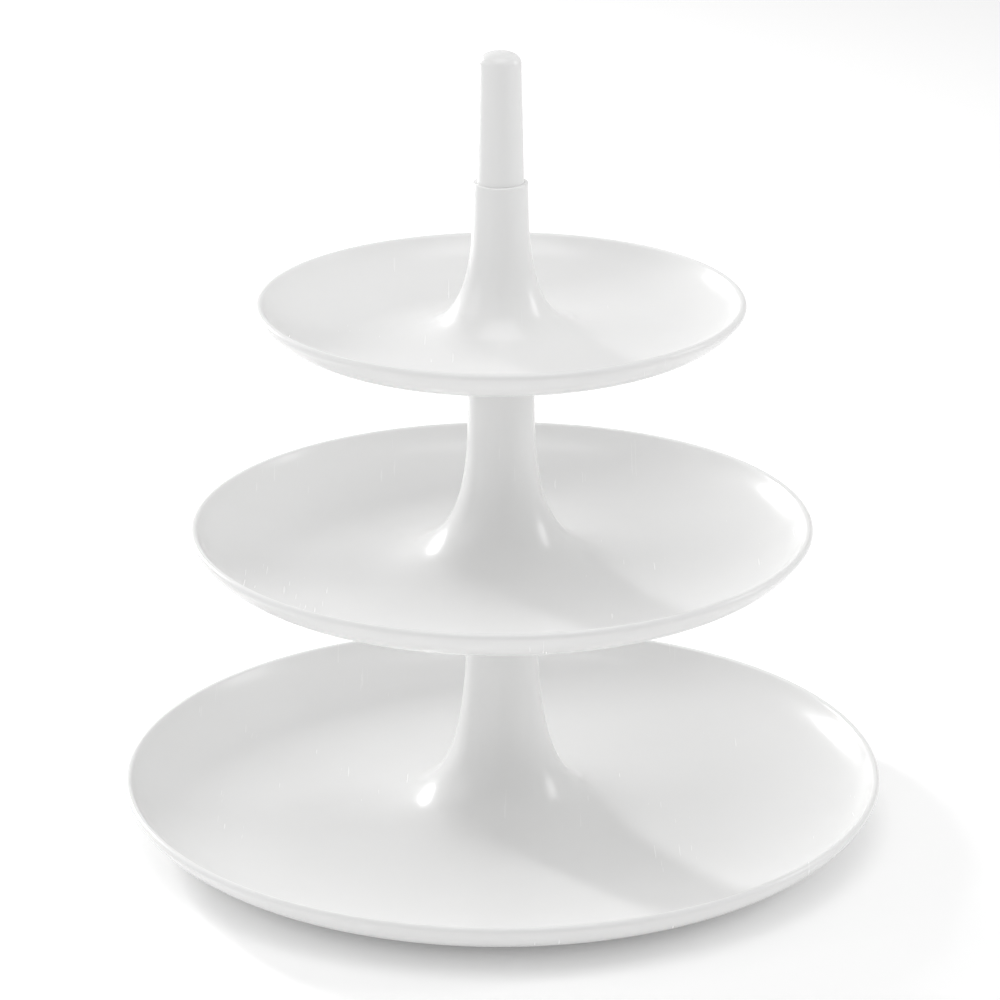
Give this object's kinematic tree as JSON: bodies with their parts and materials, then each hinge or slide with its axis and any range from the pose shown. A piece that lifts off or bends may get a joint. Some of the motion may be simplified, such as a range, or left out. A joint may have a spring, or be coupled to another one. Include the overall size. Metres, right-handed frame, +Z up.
{
  "type": "tiered cake stand",
  "caption": "Round white plastic cake stand of shallow dishes that shrink towards the top, each with a flared hollow stem that slips over the one below.",
  "frame": {"origin": "centre of the foot ring's lower face, on the table", "axes": "+Z up along the stem, which is the axis that every tier is turned about"},
  "size_m": [0.312, 0.312, 0.3248],
  "materials": {
    "white_plastic": "gloss"
  },
  "bodies": {
    "bottom_tier": {"bottom_tier": "white_plastic"},
    "middle_tier": {"middle_tier": "white_plastic"},
    "top_tier": {"top_tier": "white_plastic"}
  },
  "joints": [
    {"name": "middle_tier_lift", "type": "slide", "parent": "bottom_tier", "child": "middle_tier", "axis": [0, 0, 1], "range_m": [0, 0.09]},
    {"name": "top_tier_lift", "type": "slide", "parent": "middle_tier", "child": "top_tier", "axis": [0, 0, 1], "range_m": [0, 0.13]}
  ]
}
